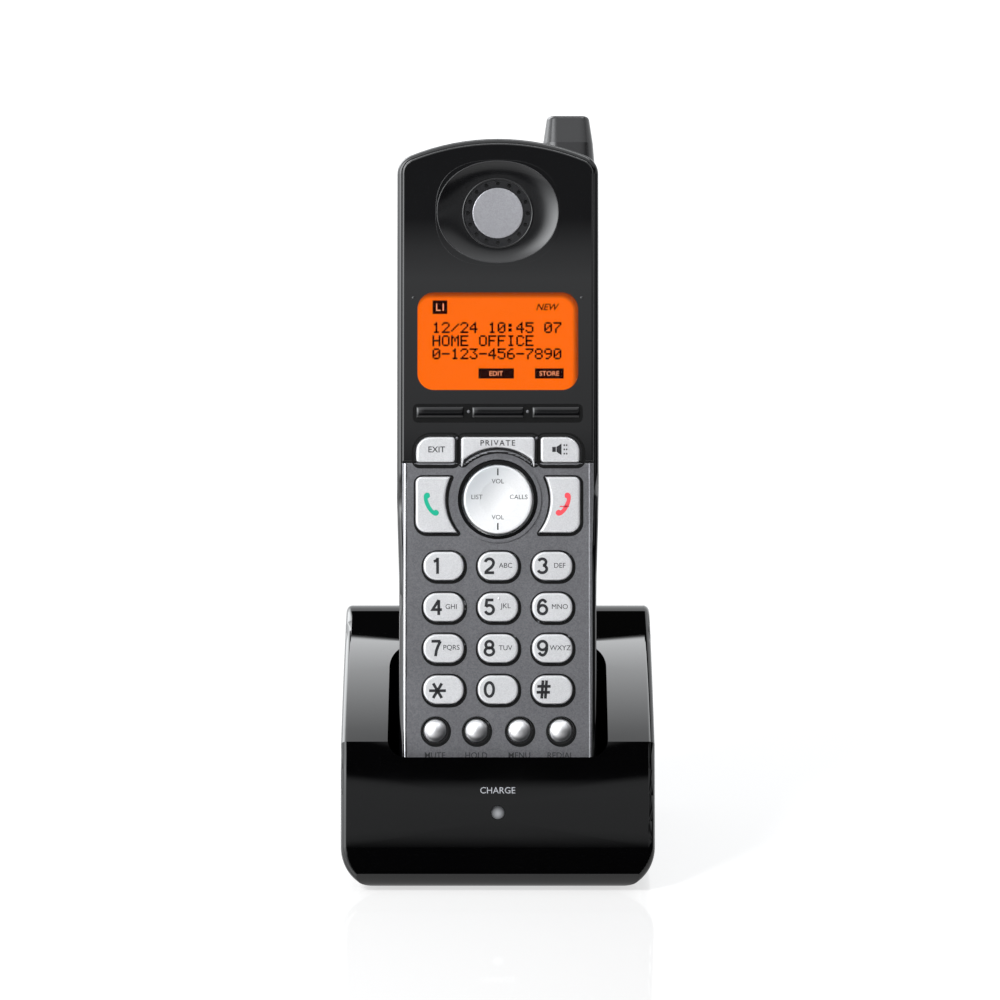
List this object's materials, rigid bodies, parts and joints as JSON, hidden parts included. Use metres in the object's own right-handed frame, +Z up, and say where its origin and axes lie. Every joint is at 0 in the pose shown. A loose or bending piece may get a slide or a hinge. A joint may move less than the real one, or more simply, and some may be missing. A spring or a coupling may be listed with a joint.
{
  "type": "cordless phone with charging base",
  "caption": "Slim cordless handset with display, round navigation key and number keys, standing in a compact charging cradle.",
  "frame": {"origin": "on the surface that the cradle stands on, below the centre of the whole product's box", "axes": "+Z up, +X to the right as seen from the front, the keypad faces -Y and leans back towards +Y"},
  "size_m": [0.0772, 0.0834, 0.1798],
  "materials": {
    "case_black": "gloss, moulded",
    "bezel_black": "high gloss",
    "fascia_gunmetal": "satin metallic paint",
    "dark_ring": "matte",
    "satin_silver": "satin",
    "inner_black": "matte",
    "inner_white": "matte",
    "window_clear": "clear, gloss",
    "display_amber": "lit from behind",
    "membrane_grey": "matte silicone",
    "board_green": "solder mask",
    "battery_wrap": "shrink wrap",
    "antenna_grey": "fine satin",
    "spring_steel": "plated",
    "contact_gold": "plated",
    "key_silver": "satin silver paint",
    "key_black": "gloss",
    "round_chrome": "bright",
    "cradle_black": "high gloss",
    "base_black": "fine grain",
    "light_lens": "frosted lens",
    "led_white": "clear",
    "foot_rubber": "matte"
  },
  "bodies": {
    "cradle": {"cradle_housing": "cradle_black", "cradle_base_plate": "base_black", "charge_light_pipe": "light_lens", "indicator_led": "led_white", "cradle_board": "board_green", "dc_jack": "inner_black", "cradle_feet": "foot_rubber", "cradle_screws": "spring_steel", "contact_block": "inner_white"},
    "handset": {"front_shell": "case_black", "rear_shell": "case_black", "display_bezel": "bezel_black", "keypad_fascia": "fascia_gunmetal", "earpiece_grille": "dark_ring", "earpiece_cap": "satin_silver", "earpiece_receiver": "inner_black", "display_window": "window_clear", "lcd_panel": "display_amber", "backlight_tray": "inner_white", "keypad_membrane": "membrane_grey", "main_board": "board_green", "microphone": "satin_silver", "loudspeaker": "inner_black", "battery_pack": "battery_wrap", "battery_connector": "inner_white", "antenna_cover": "antenna_grey", "antenna_element": "spring_steel", "handset_contacts": "contact_gold", "handset_screws": "spring_steel"},
    "battery_door": {"battery_door": "case_black"},
    "navigation_pivot": {"navigation_pivot": "inner_black"},
    "navigation_key": {"navigation_key": "key_silver"},
    "charge_contact_left": {"charge_contact_left": "contact_gold"},
    "charge_contact_right": {"charge_contact_right": "contact_gold"},
    "key_star": {"key_star": "key_silver"},
    "key_0": {"key_0": "key_silver"},
    "key_hash": {"key_hash": "key_silver"},
    "key_7": {"key_7": "key_silver"},
    "key_8": {"key_8": "key_silver"},
    "key_9": {"key_9": "key_silver"},
    "key_4": {"key_4": "key_silver"},
    "key_5": {"key_5": "key_silver"},
    "key_6": {"key_6": "key_silver"},
    "key_1": {"key_1": "key_silver"},
    "key_2": {"key_2": "key_silver"},
    "key_3": {"key_3": "key_silver"},
    "talk_key": {"talk_key": "key_silver"},
    "end_key": {"end_key": "key_silver"},
    "exit_key": {"exit_key": "key_silver"},
    "privacy_key": {"privacy_key": "key_silver"},
    "speaker_key": {"speaker_key": "key_silver"},
    "soft_key_left": {"soft_key_left": "key_black"},
    "soft_key_middle": {"soft_key_middle": "key_black"},
    "soft_key_right": {"soft_key_right": "key_black"},
    "mute_key": {"mute_key": "round_chrome"},
    "hold_key": {"hold_key": "round_chrome"},
    "menu_key": {"menu_key": "round_chrome"},
    "redial_key": {"redial_key": "round_chrome"}
  },
  "joints": [
    {"name": "handset_lift", "type": "slide", "parent": "cradle", "child": "handset", "axis": [0, 0.309, 0.9511], "range_m": [0, 0.065]},
    {"name": "key_star_press", "type": "slide", "parent": "handset", "child": "key_star", "axis": [0, 0.9511, -0.309], "range_m": [0, 0.0007], "stiffness_N_per_m": 800},
    {"name": "key_0_press", "type": "slide", "parent": "handset", "child": "key_0", "axis": [0, 0.9511, -0.309], "range_m": [0, 0.0007], "stiffness_N_per_m": 800},
    {"name": "key_hash_press", "type": "slide", "parent": "handset", "child": "key_hash", "axis": [0, 0.9511, -0.309], "range_m": [0, 0.0007], "stiffness_N_per_m": 800},
    {"name": "key_7_press", "type": "slide", "parent": "handset", "child": "key_7", "axis": [0, 0.9511, -0.309], "range_m": [0, 0.0007], "stiffness_N_per_m": 800},
    {"name": "key_8_press", "type": "slide", "parent": "handset", "child": "key_8", "axis": [0, 0.9511, -0.309], "range_m": [0, 0.0007], "stiffness_N_per_m": 800},
    {"name": "key_9_press", "type": "slide", "parent": "handset", "child": "key_9", "axis": [0, 0.9511, -0.309], "range_m": [0, 0.0007], "stiffness_N_per_m": 800},
    {"name": "key_4_press", "type": "slide", "parent": "handset", "child": "key_4", "axis": [0, 0.9511, -0.309], "range_m": [0, 0.0007], "stiffness_N_per_m": 800},
    {"name": "key_5_press", "type": "slide", "parent": "handset", "child": "key_5", "axis": [0, 0.9511, -0.309], "range_m": [0, 0.0007], "stiffness_N_per_m": 800},
    {"name": "key_6_press", "type": "slide", "parent": "handset", "child": "key_6", "axis": [0, 0.9511, -0.309], "range_m": [0, 0.0007], "stiffness_N_per_m": 800},
    {"name": "key_1_press", "type": "slide", "parent": "handset", "child": "key_1", "axis": [0, 0.9511, -0.309], "range_m": [0, 0.0007], "stiffness_N_per_m": 800},
    {"name": "key_2_press", "type": "slide", "parent": "handset", "child": "key_2", "axis": [0, 0.9511, -0.309], "range_m": [0, 0.0007], "stiffness_N_per_m": 800},
    {"name": "key_3_press", "type": "slide", "parent": "handset", "child": "key_3", "axis": [0, 0.9511, -0.309], "range_m": [0, 0.0007], "stiffness_N_per_m": 800},
    {"name": "talk_key_press", "type": "slide", "parent": "handset", "child": "talk_key", "axis": [0, 0.9511, -0.309], "range_m": [0, 0.0007], "stiffness_N_per_m": 800},
    {"name": "end_key_press", "type": "slide", "parent": "handset", "child": "end_key", "axis": [0, 0.9511, -0.309], "range_m": [0, 0.0007], "stiffness_N_per_m": 800},
    {"name": "exit_key_press", "type": "slide", "parent": "handset", "child": "exit_key", "axis": [0, 0.9511, -0.309], "range_m": [0, 0.0007], "stiffness_N_per_m": 800},
    {"name": "privacy_key_press", "type": "slide", "parent": "handset", "child": "privacy_key", "axis": [0, 0.9511, -0.309], "range_m": [0, 0.0007], "stiffness_N_per_m": 800},
    {"name": "speaker_key_press", "type": "slide", "parent": "handset", "child": "speaker_key", "axis": [0, 0.9511, -0.309], "range_m": [0, 0.0007], "stiffness_N_per_m": 800},
    {"name": "soft_key_left_press", "type": "slide", "parent": "handset", "child": "soft_key_left", "axis": [0, 0.9511, -0.309], "range_m": [0, 0.0007], "stiffness_N_per_m": 800},
    {"name": "soft_key_middle_press", "type": "slide", "parent": "handset", "child": "soft_key_middle", "axis": [0, 0.9511, -0.309], "range_m": [0, 0.0007], "stiffness_N_per_m": 800},
    {"name": "soft_key_right_press", "type": "slide", "parent": "handset", "child": "soft_key_right", "axis": [0, 0.9511, -0.309], "range_m": [0, 0.0007], "stiffness_N_per_m": 800},
    {"name": "mute_key_press", "type": "slide", "parent": "handset", "child": "mute_key", "axis": [0, 0.9511, -0.309], "range_m": [0, 0.0007], "stiffness_N_per_m": 800},
    {"name": "hold_key_press", "type": "slide", "parent": "handset", "child": "hold_key", "axis": [0, 0.9511, -0.309], "range_m": [0, 0.0007], "stiffness_N_per_m": 800},
    {"name": "menu_key_press", "type": "slide", "parent": "handset", "child": "menu_key", "axis": [0, 0.9511, -0.309], "range_m": [0, 0.0007], "stiffness_N_per_m": 800},
    {"name": "redial_key_press", "type": "slide", "parent": "handset", "child": "redial_key", "axis": [0, 0.9511, -0.309], "range_m": [0, 0.0007], "stiffness_N_per_m": 800},
    {"name": "navigation_tilt_up_down", "type": "hinge", "parent": "handset", "child": "navigation_pivot", "pos_m": [0, -0.00523, 0.09027], "axis": [1, 0, 0], "range_deg": [-3, 3], "stiffness_Nm_per_rad": 0.3},
    {"name": "navigation_tilt_left_right", "type": "hinge", "parent": "navigation_pivot", "child": "navigation_key", "pos_m": [0, -0.00523, 0.09027], "axis": [0, 0.309, 0.9511], "range_deg": [-3, 3], "stiffness_Nm_per_rad": 0.3},
    {"name": "battery_door_slide", "type": "slide", "parent": "handset", "child": "battery_door", "axis": [0, -0.309, -0.9511], "range_m": [0, 0.005]},
    {"name": "charge_contact_left_press", "type": "slide", "parent": "cradle", "child": "charge_contact_left", "axis": [0, 0.309, 0.9511], "range_m": [-0.0008, 0], "stiffness_N_per_m": 300, "springref_m": 0.001},
    {"name": "charge_contact_right_press", "type": "slide", "parent": "cradle", "child": "charge_contact_right", "axis": [0, 0.309, 0.9511], "range_m": [-0.0008, 0], "stiffness_N_per_m": 300, "springref_m": 0.001}
  ]
}
